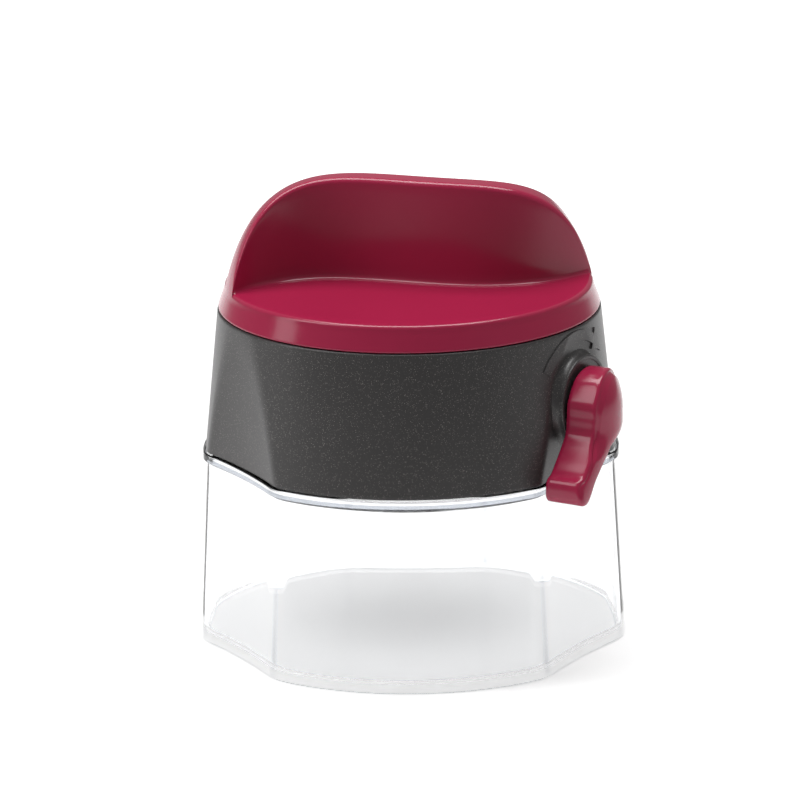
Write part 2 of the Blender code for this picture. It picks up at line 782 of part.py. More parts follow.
def make_shaft(home, cutters, axis, at):
    shaft_out = BOSS_FACE + GAP + LEVER_HUB_LENGTH - 4.0
    groove_out = at["clip"] + GAP / 2
    groove_in = at["clip"] - CLIP_THICK - GAP / 2
    groove_r = SHAFT_R - 0.7
    section = [
        (0.0, shaft_out),
        (SHAFT_R - 0.4, shaft_out),
        (SHAFT_R, shaft_out - 0.4),
        (SHAFT_R, groove_out),
        (groove_r, groove_out),
        (groove_r, groove_in),
        (SHAFT_R, groove_in),
        (SHAFT_R, at["arm"]),
        (SHAFT_END_R, at["arm"]),
        (SHAFT_END_R, at["nut"] - NUT_THICK),
        (0.0, at["nut"] - NUT_THICK),
    ]
    finish(turned("lever_shaft", section, home, 20, axis, False, along_x()), (STEEL, 0.25, 1.0))
    clip_section = ring_section(SHAFT_R + 2.0, groove_r + GAP / 2, at["clip"] - CLIP_THICK, at["clip"])
    clip = turned("shaft_clip", clip_section, home, 24, axis, True, along_x())
    mouth = block("clip_mouth", (at["clip"] - 3, -1.2, 0.0), (at["clip"] + 2, 1.2, 9.0), cutters, axis)
    combine(clip, mouth, "DIFFERENCE")
    finish(clip, (STEEL, 0.3, 1.0))
    make_nut("arm_nut", NUT_HALF + 0.6, SHAFT_END_R + GAP, at["nut"], home, cutters, axis, along_x())


def tail_outline():
    """Tail of the lever seen from outside: it leaves the hub down to the left and ends in a toe."""
    return [(-left, up) for left, up in TAIL_FRONT + TAIL_TOE + TAIL_BACK]


def make_lever(home, cutters, axis):
    base = BOSS_FACE + GAP
    end = base + LEVER_HUB_LENGTH
    hub = [
        (0.0, end),
        (LEVER_HUB_R * 0.6, end - 0.6),
        (LEVER_HUB_R - 2.0, end - 2.2),
        (LEVER_HUB_R, end - 5.0),
        (LEVER_HUB_R, base),
        (0.0, base),
    ]
    lever = turned("lever", hub, home, 32, axis, False, along_x())
    tail = prism("lever_tail", tail_outline(), base, base + LEVER_TAIL_DEPTH, cutters)
    lay = Matrix(((0, 0, 1, 0), (1, 0, 0, 0), (0, 1, 0, 0), (0, 0, 0, 1)))
    tail.data.transform(lay @ tail.matrix_world)
    tail.matrix_basis = Matrix.Identity(4)
    tail.parent = axis
    bevel(tail, 1.6, 2, 50)
    combine(lever, tail, "UNION")
    bore = solid_disc("lever_bore", SHAFT_R + GAP, base - 1, end - 4.0 + GAP, cutters, 20, axis, along_x())
    combine(lever, bore, "DIFFERENCE")
    return finish(lever, (RED, 0.2))


def make_blade_arm(home, cutters, arm_axis, at):
    """Arm that rises along Z from the shaft, then a leg that runs in over the apple."""
    hub_section = ring_section(ARM_HUB_R, SHAFT_END_R + GAP, at["arm_in"], at["arm"])
    arm = turned("blade_arm", hub_section, home, 28, arm_axis, True, along_x())
    bar_in = at["arm_in"]
    bar_out = bar_in + ARM_THICK
    low = ARM_HUB_R - 2.0
    high = ARM_REACH + LEG_HALF
    side = [(bar_in, low), (bar_out, low), (bar_out, high - ARM_THICK), (bar_in, high)]
    bar = prism("arm_bar", side, -ARM_HALF, ARM_HALF, cutters)
    bar.data.transform(Matrix.Rotation(math.radians(90), 4, "X") @ bar.matrix_world)
    bar.matrix_basis = Matrix.Identity(4)
    bar.parent = arm_axis
    leg_low = (LEG_END, -LEG_HALF, ARM_REACH - LEG_HALF)
    leg_high = (bar_in + ARM_THICK / 2, LEG_HALF, ARM_REACH + LEG_HALF)
    leg = block("arm_leg", leg_low, leg_high, cutters, arm_axis)
    bevel(bar, 0.8)
    bevel(leg, 0.5)
    combine(arm, bar, "UNION")
    combine(arm, leg, "UNION")
    place = Matrix.Translation((HOLDER_LENGTH * MM, 0, ARM_REACH * MM)) @ Matrix.Rotation(math.radians(90), 4, "X")
    hole = solid_disc("pin_hole", PIN_R + GAP, -9, 9, cutters, 16, arm_axis, place)
    combine(arm, hole, "DIFFERENCE")
    return finish(arm, (DARK, 0.45))


def make_blade_head(home, cutters, pivot):
    """Holder, pin and blade, in axes whose origin is the pin; the blade lies over the corer's axis."""
    inner = LEG_HALF + GAP
    outer = inner + CHEEK_THICK
    depth = 3.0
    behind = HOLDER_LENGTH
    low = (-behind - BLADE_WIDTH / 2, -outer, -depth)
    holder = block("blade_holder", low, (PIN_R + 2.4, outer, depth), home, pivot)
    bevel(holder, 0.6)
    slot_low = (-4.2, -inner, -depth - 1)
    slot = block("holder_slot", slot_low, (PIN_R + 6, inner, depth + 1), cutters, pivot)
    combine(holder, slot, "DIFFERENCE")
    seat_half = BLADE_LENGTH / 2 + 2.0
    seat_low = (-behind - BLADE_WIDTH / 2, -seat_half, -BLADE_INSET + BLADE_THICK + GAP)
    seat = block("blade_seat", seat_low, (-behind + BLADE_WIDTH / 2, seat_half, 0.0), cutters, pivot)
    combine(holder, seat, "UNION")
    window = block("blade_window", (-behind - 1.4, -BLADE_LENGTH / 2 + 2, -BLADE_INSET - 2),
                   (-behind + 1.2, BLADE_LENGTH / 2 - 2, depth + 3), cutters, pivot)
    combine(holder, window, "DIFFERENCE")
    across = Matrix.Rotation(math.radians(90), 4, "X")
    hole = solid_disc("holder_hole", PIN_R + GAP, -12, 12, cutters, 16, pivot, across)
    combine(holder, hole, "DIFFERENCE")
    finish(holder, (DARK, 0.45))
    end = outer + GAP
    pin = [
        (0.0, end + 0.8),
        (PIN_R + 0.9, end + 0.8),
        (PIN_R + 0.9, end),
        (PIN_R, end),
        (PIN_R, -outer - 0.6),
        (0.0, -outer - 0.6),
    ]
    finish(turned("blade_pin", pin, home, 16, pivot, False, across), (STEEL, 0.25, 1.0))
    blade_low = (-behind - BLADE_WIDTH / 2, -BLADE_LENGTH / 2, -BLADE_INSET)
    blade_high = (-behind + BLADE_WIDTH / 2, BLADE_LENGTH / 2, -BLADE_INSET + BLADE_THICK)
    blade = block("peeler_blade", blade_low, blade_high, home, pivot)
    slit = block("blade_slit", (-behind - 0.9, -BLADE_LENGTH / 2 + 2, -BLADE_INSET - 1),
                 (-behind + 0.7, BLADE_LENGTH / 2 - 2, -BLADE_INSET + 2), cutters, pivot)
    combine(blade, slit, "DIFFERENCE")
    finish(blade, (STEEL, 0.15, 1.0))


def make_blade_spring(home, pivot):
    """Torsion spring that sits round the pin's headless end."""
    low = LEG_HALF + GAP + CHEEK_THICK + GAP
    spring = coil("blade_spring", PIN_R + 1.4, 0.35, 3, low, low + 3.2, home, 12)
    spring.parent = pivot
    spring.matrix_basis = Matrix.Rotation(math.radians(90), 4, "X")
    finish(spring, (STEEL, 0.3, 1.0))


def empty(name, frame, home, parent=None):
    made = put(bpy.data.objects.new(name, None), home, parent)
    made.matrix_basis = frame
    return made


def main():
    clear_scene()
    parts = collection("apple_peeler_corer")
    cutters = collection("cutters")
    make_bowl(parts)
    make_housing(parts, cutters)
    make_spider(parts, cutters)
    make_corer(parts, cutters)
    deck_tip = SPIDER_TOP + GAP + LUG_LENGTH - 4.0
    make_screws("deck_screw", 3, EAR_CIRCLE, EAR_DIRECTIONS, SPIDER_FOOT - GAP, deck_tip, parts)
    make_cap(parts, cutters)
    make_cap_plate(parts, cutters)
    make_bearing_ring(parts)
    make_screws("cap_screw", 3, CAP_SCREW_CIRCLE, EAR_DIRECTIONS, CAP_FOOT - GAP, CAP_ROOF - 0.8, parts)
    make_fork(parts, cutters)
    make_spindle_spring(parts)
    axis = empty("lever_axis", lever_frame(), parts)
    arm_axis = empty("arm_axis", Matrix.Rotation(math.radians(-ARM_START), 4, "X"), parts, axis)
    pivot_place = Matrix.Translation((HOLDER_LENGTH * MM, 0, ARM_REACH * MM))
    pivot = empty("blade_pivot", pivot_place, parts, arm_axis)
    at = lever_stations()
    make_pivot_bush(parts, axis, at)
    make_shaft(parts, cutters, axis, at)
    make_lever(parts, cutters, axis)
    make_blade_arm(parts, cutters, arm_axis, at)
    make_blade_head(parts, cutters, pivot)
    make_blade_spring(parts, pivot)


main()
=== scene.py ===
import json
import math

import bmesh
import bpy
import numpy as np
from mathutils import Matrix, Vector


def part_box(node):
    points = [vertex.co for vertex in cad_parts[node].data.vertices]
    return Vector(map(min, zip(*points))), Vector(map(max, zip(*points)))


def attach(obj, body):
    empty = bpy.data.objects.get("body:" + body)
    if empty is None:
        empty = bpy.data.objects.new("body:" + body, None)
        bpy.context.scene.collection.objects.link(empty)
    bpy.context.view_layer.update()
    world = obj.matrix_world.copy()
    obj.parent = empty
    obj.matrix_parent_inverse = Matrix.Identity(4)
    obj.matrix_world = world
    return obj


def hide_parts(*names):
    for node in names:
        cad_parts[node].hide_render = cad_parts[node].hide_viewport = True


# Apple peeler corer: finished surfaces and materials round the fixed frame.
# Lengths in the shape functions are millimetres; build_piece turns them to metres. Z is up, -Y is the front.

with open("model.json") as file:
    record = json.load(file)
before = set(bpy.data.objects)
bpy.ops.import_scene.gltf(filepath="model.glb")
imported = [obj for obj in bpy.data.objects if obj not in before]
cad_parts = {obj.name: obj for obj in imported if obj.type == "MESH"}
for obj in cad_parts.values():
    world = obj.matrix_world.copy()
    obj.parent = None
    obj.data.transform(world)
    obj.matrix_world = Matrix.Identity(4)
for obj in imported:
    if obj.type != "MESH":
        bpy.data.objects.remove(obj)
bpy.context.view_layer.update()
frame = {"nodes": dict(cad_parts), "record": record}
MM = 0.001


def top_of(node):
    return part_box(node)[1].z / MM


def foot_of(node):
    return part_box(node)[0].z / MM


# ---- surfaces: each is (points, faces), built on whole arrays ---------------------------------------

def grid(points, wrap_rows=False, wrap_columns=False):
    """Quads between neighbouring points of a rows x columns grid; a wrapped side joins its far end."""
    rows, columns = points.shape[:2]
    index = np.arange(rows * columns).reshape(rows, columns)
    if wrap_rows:
        index = np.vstack([index, index[:1]])
    if wrap_columns:
        index = np.hstack([index, index[:, :1]])
    faces = np.stack([index[:-1, :-1], index[1:, :-1], index[1:, 1:], index[:-1, 1:]], -1)
    return points.reshape(-1, 3), faces.reshape(-1, 4)


def together(surfaces):
    points, faces, base = [], [], 0
    for these_points, these_faces in surfaces:
        points.append(these_points)
        faces.append(these_faces + base)
        base += len(these_points)
    return np.vstack(points), np.vstack(faces)


def place(surface, matrix):
    points, faces = surface
    turn = np.array(matrix.to_3x3())
    return points @ turn.T + np.array(matrix.translation), faces


def turned(profile, sides=96):
    """A (radius, height) line carried round Z: x = r cos a, y = r sin a."""
    line = np.array(profile, float)
    angle = np.linspace(0, math.tau, sides, endpoint=False)
    radius = line[:, :1]
    x = radius * np.cos(angle)
    y = radius * np.sin(angle)
    z = np.repeat(line[:, 1:2], sides, 1)
    return grid(np.stack([x, y, z], -1), wrap_columns=True)


def rounded(profile, radius, steps=4):
    """Ease the corners of a line of (radius, height) points with parabolic arcs of at most that reach."""
    line = [np.array(p, float) for p in profile]
    out = [line[0]]
    for before, corner, after in zip(line, line[1:], line[2:]):
        back, ahead = before - corner, after - corner
        room = min(radius, 0.45 * np.linalg.norm(back), 0.45 * np.linalg.norm(ahead))
        start = corner + back / np.linalg.norm(back) * room
        end = corner + ahead / np.linalg.norm(ahead) * room
        share = np.linspace(0, 1, steps + 1)[:, None]
        out.extend(start * (1 - share) ** 2 + corner * 2 * share * (1 - share) + end * share ** 2)
    out.append(line[-1])
    return np.array(out)


def build_piece(name, surfaces, look, body, replaced=(), sharp=42.0):
    """Weld the surfaces into one mesh, turn each closed shell outwards, and hang it on its CAD body."""
    points, faces = together(surfaces)
    mesh = bpy.data.meshes.new(name)
    mesh.from_pydata((points * MM).tolist(), [], faces.tolist())
    work = bmesh.new()
    work.from_mesh(mesh)
    bmesh.ops.remove_doubles(work, verts=work.verts, dist=0.000004)
    bmesh.ops.dissolve_degenerate(work, edges=work.edges, dist=0.000002)
    bmesh.ops.recalc_face_normals(work, faces=work.faces)
    work.to_mesh(mesh)
    work.free()
    mesh.shade_smooth()
    mesh.set_sharp_from_angle(angle=math.radians(sharp))
    mesh.materials.append(look)
    piece = bpy.data.objects.new(name, mesh)
    bpy.context.scene.collection.objects.link(piece)
    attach(piece, body)
    if replaced:
        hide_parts(*replaced)
    return piece


# ---- materials --------------------------------------------------------------------------------------

def node(tree, kind, **inputs):
    made = tree.nodes.new(kind)
    for key, value in inputs.items():
        made.inputs[key.replace("_", " ")].default_value = value
    return made


def fine_grain_group():
    """Cloudy roughness and a shallow moulded grain: two noises of different size."""
    group = bpy.data.node_groups.new("moulded grain", "ShaderNodeTree")
    face = group.interface
    face.new_socket("Size", in_out="INPUT", socket_type="NodeSocketFloat")
    face.new_socket("Dull", in_out="INPUT", socket_type="NodeSocketFloat")
    face.new_socket("Spread", in_out="INPUT", socket_type="NodeSocketFloat")
    face.new_socket("Depth", in_out="INPUT", socket_type="NodeSocketFloat")
    face.new_socket("Roughness", in_out="OUTPUT", socket_type="NodeSocketFloat")
    face.new_socket("Normal", in_out="OUTPUT", socket_type="NodeSocketVector")
    enter = group.nodes.new("NodeGroupInput")
    leave = group.nodes.new("NodeGroupOutput")
    place_in = group.nodes.new("ShaderNodeTexCoord")
    cloud = node(group, "ShaderNodeTexNoise", Scale=28.0, Detail=4.0)
    grain = node(group, "ShaderNodeTexNoise", Detail=2.0)
    spread = group.nodes.new("ShaderNodeMath")
    spread.operation = "MULTIPLY_ADD"
    middle = group.nodes.new("ShaderNodeMath")
    middle.operation = "SUBTRACT"
    middle.inputs[1].default_value = 0.5
    bump = node(group, "ShaderNodeBump", Distance=0.0001)
    link = group.links.new
    link(place_in.outputs["Object"], cloud.inputs["Vector"])
    link(place_in.outputs["Object"], grain.inputs["Vector"])
    link(enter.outputs["Size"], grain.inputs["Scale"])
    link(cloud.outputs["Fac"], middle.inputs[0])
    link(middle.outputs[0], spread.inputs[0])
    link(enter.outputs["Spread"], spread.inputs[1])
    link(enter.outputs["Dull"], spread.inputs[2])
    link(spread.outputs[0], leave.inputs["Roughness"])
    link(enter.outputs["Depth"], bump.inputs["Strength"])
    link(grain.outputs["Fac"], bump.inputs["Height"])
    link(bump.outputs["Normal"], leave.inputs["Normal"])
    return group


def flake_group():
    """Fine flakes held in dark plastic: cells whose own random number is high show as small dots."""
    group = bpy.data.node_groups.new("mineral flakes", "ShaderNodeTree")
    face = group.interface
    face.new_socket("Cells", in_out="INPUT", socket_type="NodeSocketFloat")
    face.new_socket("Share", in_out="INPUT", socket_type="NodeSocketFloat")
    face.new_socket("Radius", in_out="INPUT", socket_type="NodeSocketFloat")
    face.new_socket("Mask", in_out="OUTPUT", socket_type="NodeSocketFloat")
    enter = group.nodes.new("NodeGroupInput")
    leave = group.nodes.new("NodeGroupOutput")
    place_in = group.nodes.new("ShaderNodeTexCoord")
    cells = group.nodes.new("ShaderNodeTexVoronoi")
    own = group.nodes.new("ShaderNodeSeparateColor")
    chosen = group.nodes.new("ShaderNodeMath")
    chosen.operation = "LESS_THAN"
    near = group.nodes.new("ShaderNodeMath")
    near.operation = "LESS_THAN"
    bright = group.nodes.new("ShaderNodeMath")
    bright.operation = "MULTIPLY"
    both = group.nodes.new("ShaderNodeMath")
    both.operation = "MULTIPLY"
    link = group.links.new
    link(place_in.outputs["Object"], cells.inputs["Vector"])
    link(enter.outputs["Cells"], cells.inputs["Scale"])
    link(cells.outputs["Color"], own.inputs[0])
    link(own.outputs[0], chosen.inputs[0])
    link(enter.outputs["Share"], chosen.inputs[1])
    link(cells.outputs["Distance"], near.inputs[0])
    link(enter.outputs["Radius"], near.inputs[1])
    link(chosen.outputs[0], both.inputs[0])
    link(near.outputs[0], both.inputs[1])
    link(both.outputs[0], bright.inputs[0])
    link(own.outputs[1], bright.inputs[1])
    link(bright.outputs[0], leave.inputs["Mask"])
    return group


GRAIN = fine_grain_group()
FLAKES = flake_group()


def material(name):
    made = bpy.data.materials.new(name)
    made.use_nodes = True
    return made, made.node_tree, made.node_tree.nodes["Principled BSDF"]


def use_group(tree, group, **values):
    made = tree.nodes.new("ShaderNodeGroup")
    made.node_tree = group
    for key, value in values.items():
        made.inputs[key].default_value = value
    return made


def tone(tree, shader, low, high, scale=22.0):
    """Colour that drifts a little between two tones over the piece."""
    place_in = tree.nodes.new("ShaderNodeTexCoord")
    cloud = node(tree, "ShaderNodeTexNoise", Scale=scale, Detail=3.0)
    ramp = tree.nodes.new("ShaderNodeValToRGB")
    ramp.color_ramp.elements[0].position = 0.3
    ramp.color_ramp.elements[1].position = 0.7
    ramp.color_ramp.elements[0].color = (*low, 1.0)
    ramp.color_ramp.elements[1].color = (*high, 1.0)
    tree.links.new(place_in.outputs["Object"], cloud.inputs["Vector"])
    tree.links.new(cloud.outputs["Fac"], ramp.inputs["Fac"])
    tree.links.new(ramp.outputs["Color"], shader.inputs["Base Color"])
    return ramp


def grain_on(tree, shader, size, dull, spread, depth):
    grain = use_group(tree, GRAIN, Size=size, Dull=dull, Spread=spread, Depth=depth)
    tree.links.new(grain.outputs["Roughness"], shader.inputs["Roughness"])
    tree.links.new(grain.outputs["Normal"], shader.inputs["Normal"])


def red_gloss(name):
    made, tree, shader = material(name)
    tone(tree, shader, (0.335, 0.0130, 0.0540), (0.355, 0.0142, 0.0580))
    grain_on(tree, shader, 900.0, 0.16, 0.05, 0.03)
    shader.inputs["IOR"].default_value = 1.5
    return made


def flecked_dark(name, flakes=True):
    made, tree, shader = material(name)
    ramp = tone(tree, shader, (0.0390, 0.0365, 0.0365), (0.0460, 0.0435, 0.0435))
    if flakes:
        fine = use_group(tree, FLAKES, Cells=3400.0, Share=0.24, Radius=0.34)
        mix = tree.nodes.new("ShaderNodeMix")
        mix.data_type = "RGBA"
        mix.inputs["B"].default_value = (0.36, 0.335, 0.31, 1.0)
        tree.links.new(fine.outputs["Mask"], mix.inputs["Factor"])
        tree.links.new(ramp.outputs["Color"], mix.inputs["A"])
        tree.links.new(mix.outputs["Result"], shader.inputs["Base Color"])
    grain_on(tree, shader, 1400.0, 0.34, 0.06, 0.05)
    shader.inputs["IOR"].default_value = 1.5
    return made


def clear_plastic(name):
    """Clear plastic; the "depth" attribute tints it blue-grey where a look passes through more of it, at the
    corners, rim and foot: partly the plastic's own tint, partly painted shade for the dark lines there.
    """
    made, tree, shader = material(name)
    depth_and_painted_shade = tree.nodes.new("ShaderNodeAttribute")
    depth_and_painted_shade.attribute_name = "depth"
    ramp = tree.nodes.new("ShaderNodeValToRGB")
    ramp.color_ramp.elements[0].color = (0.990, 0.994, 1.0, 1.0)
    # Blue-grey end of the ramp: darker than the plastic's own tint, so it paints shade along the corners, rim flange
    # and foot.
    ramp.color_ramp.elements[1].color = (0.16, 0.20, 0.27, 1.0)
    tree.links.new(depth_and_painted_shade.outputs["Fac"], ramp.inputs["Fac"])
    tree.links.new(ramp.outputs["Color"], shader.inputs["Base Color"])
    shader.inputs["Transmission Weight"].default_value = 1.0
    shader.inputs["IOR"].default_value = 1.42
    grain = use_group(tree, GRAIN, Size=60.0, Dull=0.012, Spread=0.012, Depth=0.01)
    tree.links.new(grain.outputs["Roughness"], shader.inputs["Roughness"])
    return made


def steel(name, streaks=(60.0, 60.0, 900.0)):
    """Stainless steel with fine drawn lines: noise stretched along one direction."""
    made, tree, shader = material(name)
    shader.inputs["Metallic"].default_value = 1.0
    place_in = tree.nodes.new("ShaderNodeTexCoord")
    stretch = tree.nodes.new("ShaderNodeMapping")
    stretch.inputs["Scale"].default_value = streaks
    lines = node(tree, "ShaderNodeTexNoise", Scale=1.0, Detail=3.0)
    colour = tree.nodes.new("ShaderNodeValToRGB")
    colour.color_ramp.elements[0].color = (0.46, 0.46, 0.47, 1.0)
    colour.color_ramp.elements[1].color = (0.66, 0.66, 0.66, 1.0)
    rough = tree.nodes.new("ShaderNodeMapRange")
    rough.inputs["To Min"].default_value = 0.16
    rough.inputs["To Max"].default_value = 0.36
    bump = node(tree, "ShaderNodeBump", Strength=0.12, Distance=0.00005)
    link = tree.links.new
    link(place_in.outputs["Object"], stretch.inputs["Vector"])
    link(stretch.outputs["Vector"], lines.inputs["Vector"])
    link(lines.outputs["Fac"], colour.inputs["Fac"])
    link(lines.outputs["Fac"], rough.inputs["Value"])
    link(lines.outputs["Fac"], bump.inputs["Height"])
    link(colour.outputs["Color"], shader.inputs["Base Color"])
    link(rough.outputs["Result"], shader.inputs["Roughness"])
    link(bump.outputs["Normal"], shader.inputs["Normal"])
    return made


def pale_acetal(name):
    made, tree, shader = material(name)
    tone(tree, shader, (0.70, 0.695, 0.67), (0.76, 0.755, 0.73))
    grain_on(tree, shader, 700.0, 0.42, 0.08, 0.06)
    return made


RED_CAP = red_gloss("raspberry red cap")
RED_LEVER = red_gloss("raspberry red lever")
DARK_HOUSING = flecked_dark("flecked dark housing")
DARK_INSIDE = flecked_dark("plain dark inside", flakes=False)
CLEAR = clear_plastic("clear bowl plastic")
STEEL = steel("drawn stainless steel")
PALE = pale_acetal("pale acetal")


# ---- plan shape -------------------------------------------------------------------------------------

FLAT_HOLLOW_R = 209.0
CORNER_SOFT = 0.9


def plan_radius(angle, round_r, flat, soft=CORNER_SOFT):
    """Distance from the axis to the three-sided plan.

    A flat is a large circle outside the plan, seen from the axis: D cos p - sqrt(F^2 - (D sin p)^2), where p is
    the angle from the flat's middle. The outline is the nearer of the flat and the round side, with the corner
    between them eased by a polynomial smooth minimum.
    """
    off = np.mod(angle - math.radians(90) + math.radians(60), math.radians(120)) - math.radians(60)
    centre = flat + FLAT_HOLLOW_R
    inside = FLAT_HOLLOW_R ** 2 - (centre * np.sin(off)) ** 2
    hollow = np.where(inside > 0, centre * np.cos(off) - np.sqrt(np.maximum(inside, 0)), 999.0)
    gap = np.maximum(soft - np.abs(hollow - round_r), 0) / soft
    return np.minimum(hollow, round_r) - gap ** 2 * soft / 4


def plan_wall(levels, columns=720, soft=CORNER_SOFT):
    """Rows of points at (round radius, flat distance, height), each row one turn of the plan."""
    line = np.array(levels, float)
    angle = np.linspace(0, math.tau, columns, endpoint=False)[None, :]
    radius = plan_radius(angle, line[:, :1], line[:, 1:2], soft)
    z = np.repeat(line[:, 2:3], columns, 1)
    return np.stack([radius * np.cos(angle), radius * np.sin(angle), z], -1)


# ---- bowl -------------------------------------------------------------------------------------------

BOWL_FOOT_R = 74.9
BOWL_CORNER_SOFT = 2.6
BOWL_TOP_R = 71.3
BOWL_FLAT_DROP = 6.15
BOWL_WALL = 2.2
BOWL_FLOOR = 2.6
RIM_HEIGHT = 3.0
RIM_STEP = 1.6


def bowl_surface():
    """Outer wall, stepped rim, inner wall and floor: the plan shape scaled by a straight taper."""
    high = top_of("bowl")
    climb = [2.2, 4.0, 8.0, 14.0, 22.0, 34.0, 48.0, 60.0]
    outline = [(-7.0, 0.0), (-5.5, 0.0), (-3.0, 0.0), (-0.8, 0.0), (0.0, 1.0)]
    outline += [(0.0, height) for height in climb]
    outline += [(0.0, high - RIM_HEIGHT - 0.5), (RIM_STEP - 0.3, high - RIM_HEIGHT)]
    outline += [(RIM_STEP, high - RIM_HEIGHT + 0.4), (RIM_STEP, high - 1.5), (RIM_STEP, high - 1.1)]
    outline += [(RIM_STEP, high - 0.4), (RIM_STEP - 0.4, high), (-BOWL_WALL + 0.3, high), (-BOWL_WALL, high - 0.5)]
    outline += [(-BOWL_WALL, height) for height in climb[:2:-1]]
    outline += [(-BOWL_WALL, BOWL_FLOOR + 2.2), (-BOWL_WALL - 2.2, BOWL_FLOOR)]
    outline += [(-BOWL_WALL - 4.4, BOWL_FLOOR), (-BOWL_WALL - 6.0, BOWL_FLOOR)]
    eased = rounded(outline, 0.9)
    levels = []
    for grow, height in eased:
        round_r = BOWL_FOOT_R + (BOWL_TOP_R - BOWL_FOOT_R) * height / high + grow
        levels.append((round_r, round_r - BOWL_FLAT_DROP, height))
    wall = plan_wall(levels, soft=BOWL_CORNER_SOFT)
    under = wall[:1] * np.array([0.0, 0.0, 1.0])
    floor = wall[-1:] * np.array([0.0, 0.0, 1.0])
    return grid(np.vstack([under, wall, floor]), wrap_columns=True)


def paint_depth_and_edge_shade(piece):
    """Per-point depth of plastic, pushed up into painted shade: bell curves round the corners, the rim flange and
    the foot's edges, which the bowl material turns into a darker blue-grey tint.
    """
    mesh = piece.data
    count = len(mesh.vertices)
    flat = np.empty(count * 3)
    mesh.vertices.foreach_get("co", flat)
    x, y, z = (flat.reshape(-1, 3) / MM).T
    high = top_of("bowl")
    round_r = BOWL_FOOT_R + (BOWL_TOP_R - BOWL_FOOT_R) * z / high
    centre = round_r - BOWL_FLAT_DROP + FLAT_HOLLOW_R
    corner = np.arccos((round_r ** 2 + centre ** 2 - FLAT_HOLLOW_R ** 2) / (2 * round_r * centre))
    off = np.mod(np.arctan2(y, x) - math.radians(90) + math.radians(60), math.radians(120)) - math.radians(60)
    along = (np.abs(off) - corner) * round_r
    plan = plan_radius(np.arctan2(y, x), round_r, round_r - BOWL_FLAT_DROP)
    upright = (z > 1.5) & (z < high - RIM_HEIGHT) & (np.hypot(x, y) > plan - BOWL_WALL - 1.0)
    # Painted shade: these values darken the bowl along its corners, rim flange and foot, beyond the plastic's own
    # tint.
    depth = np.where(upright, (0.15 + 0.30 * np.exp(-z / 10.0)) * np.exp(-(along / 1.3) ** 2), 0.0)
    outer = np.hypot(x, y) > plan - 0.8
    depth += np.where(outer & (z > high - RIM_HEIGHT - 0.3) & (z < high - 1.25), 0.80, 0.0)
    depth += np.where(outer & (z < 0.5), 0.55, 0.0)
    layer = mesh.attributes.new("depth", "FLOAT", "POINT")
    layer.data.foreach_set("value", np.clip(depth, 0, 1))


# ---- housing ----------------------------------------------------------------------------------------

HOUSING_FOOT_R = 71.9
HOUSING_TOP_R = 66.9
HOUSING_FLAT = 65.85
HOUSING_TOP_FLAT = HOUSING_TOP_R - 0.05
HOUSING_WALL = 2.6
HOUSING_EDGE = 0.6
LEDGE_R = 59.9
LEDGE_TOP = 7.0
LEDGE_THICK = 3.0
LEVER_AXIS_Z = 94.0
LEVER_SIDE = 330.0


def housing_line(share):
    """Round radius and flat distance at a share of the housing's height."""
    round_r = HOUSING_FOOT_R + (HOUSING_TOP_R - HOUSING_FOOT_R) * share
    return round_r, HOUSING_FLAT + (HOUSING_TOP_FLAT - HOUSING_FLAT) * share


def housing_shell():
    low, high = foot_of("housing"), top_of("housing")
    tall = high - low
    ledge_high = high - LEDGE_TOP
    ledge_low = ledge_high - LEDGE_THICK

    def level(height, shrink):
        round_r, flat = housing_line((height - low) / tall)
        return round_r - shrink, flat - shrink, height

    edge = HOUSING_EDGE
    levels = [level(low, HOUSING_WALL - 0.4), level(low, edge)]
    levels += [level(low + edge * (1 - math.cos(a)), edge * (1 - math.sin(a))) for a in np.linspace(0.3, 1.57, 4)]
    levels += [level(height, 0.0) for height in np.linspace(low + 1.4, high - 1.4, 34)]
    levels += [level(high - edge * (1 - math.sin(a)), edge * (1 - math.cos(a))) for a in np.linspace(0, 1.57, 5)]
    levels += [level(high, HOUSING_WALL - 0.3), level(high - 0.4, HOUSING_WALL), level(ledge_high, HOUSING_WALL)]
    levels += [(LEDGE_R + 0.3, LEDGE_R + 0.3, ledge_high), (LEDGE_R, LEDGE_R, ledge_high - 0.3)]
    levels += [(LEDGE_R, LEDGE_R, ledge_low + 0.3), (LEDGE_R + 0.3, LEDGE_R + 0.3, ledge_low)]
    levels += [level(height, HOUSING_WALL) for height in np.linspace(ledge_low, low + 0.4, 6)]
    return grid(plan_wall(levels), wrap_rows=True, wrap_columns=True)


def lever_frame():
    """Lever side axes in millimetres: Z' points out of the flat, Y' up, X' to the right seen from outside."""
    side = math.radians(LEVER_SIDE)
    out = Vector((math.cos(side), math.sin(side), 0))
    right = Vector((-math.sin(side), math.cos(side), 0))
    turn = Matrix((right, Vector((0, 0, 1)), out)).transposed().to_4x4()
    return Matrix.Translation((0, 0, LEVER_AXIS_Z)) @ turn


def flat_stand(across, up):
    """How far out the flat lies at a place beside the lever's axis."""
    low, high = foot_of("housing"), top_of("housing")
    share = (LEVER_AXIS_Z + up - low) / (high - low)
    cone, flat = housing_line(share)
    hollow = flat + FLAT_HOLLOW_R - np.sqrt(FLAT_HOLLOW_R ** 2 - across ** 2)
    return np.minimum(hollow, np.sqrt(np.maximum(cone ** 2 - across ** 2, 1.0)))


BOSS_FACE = 70.45
BOSS_BACK = 56.95
BORE_R = 6.3
LUG_CIRCLE = 63.6
LUG_DIRECTIONS = (270.0, 30.0, 150.0)


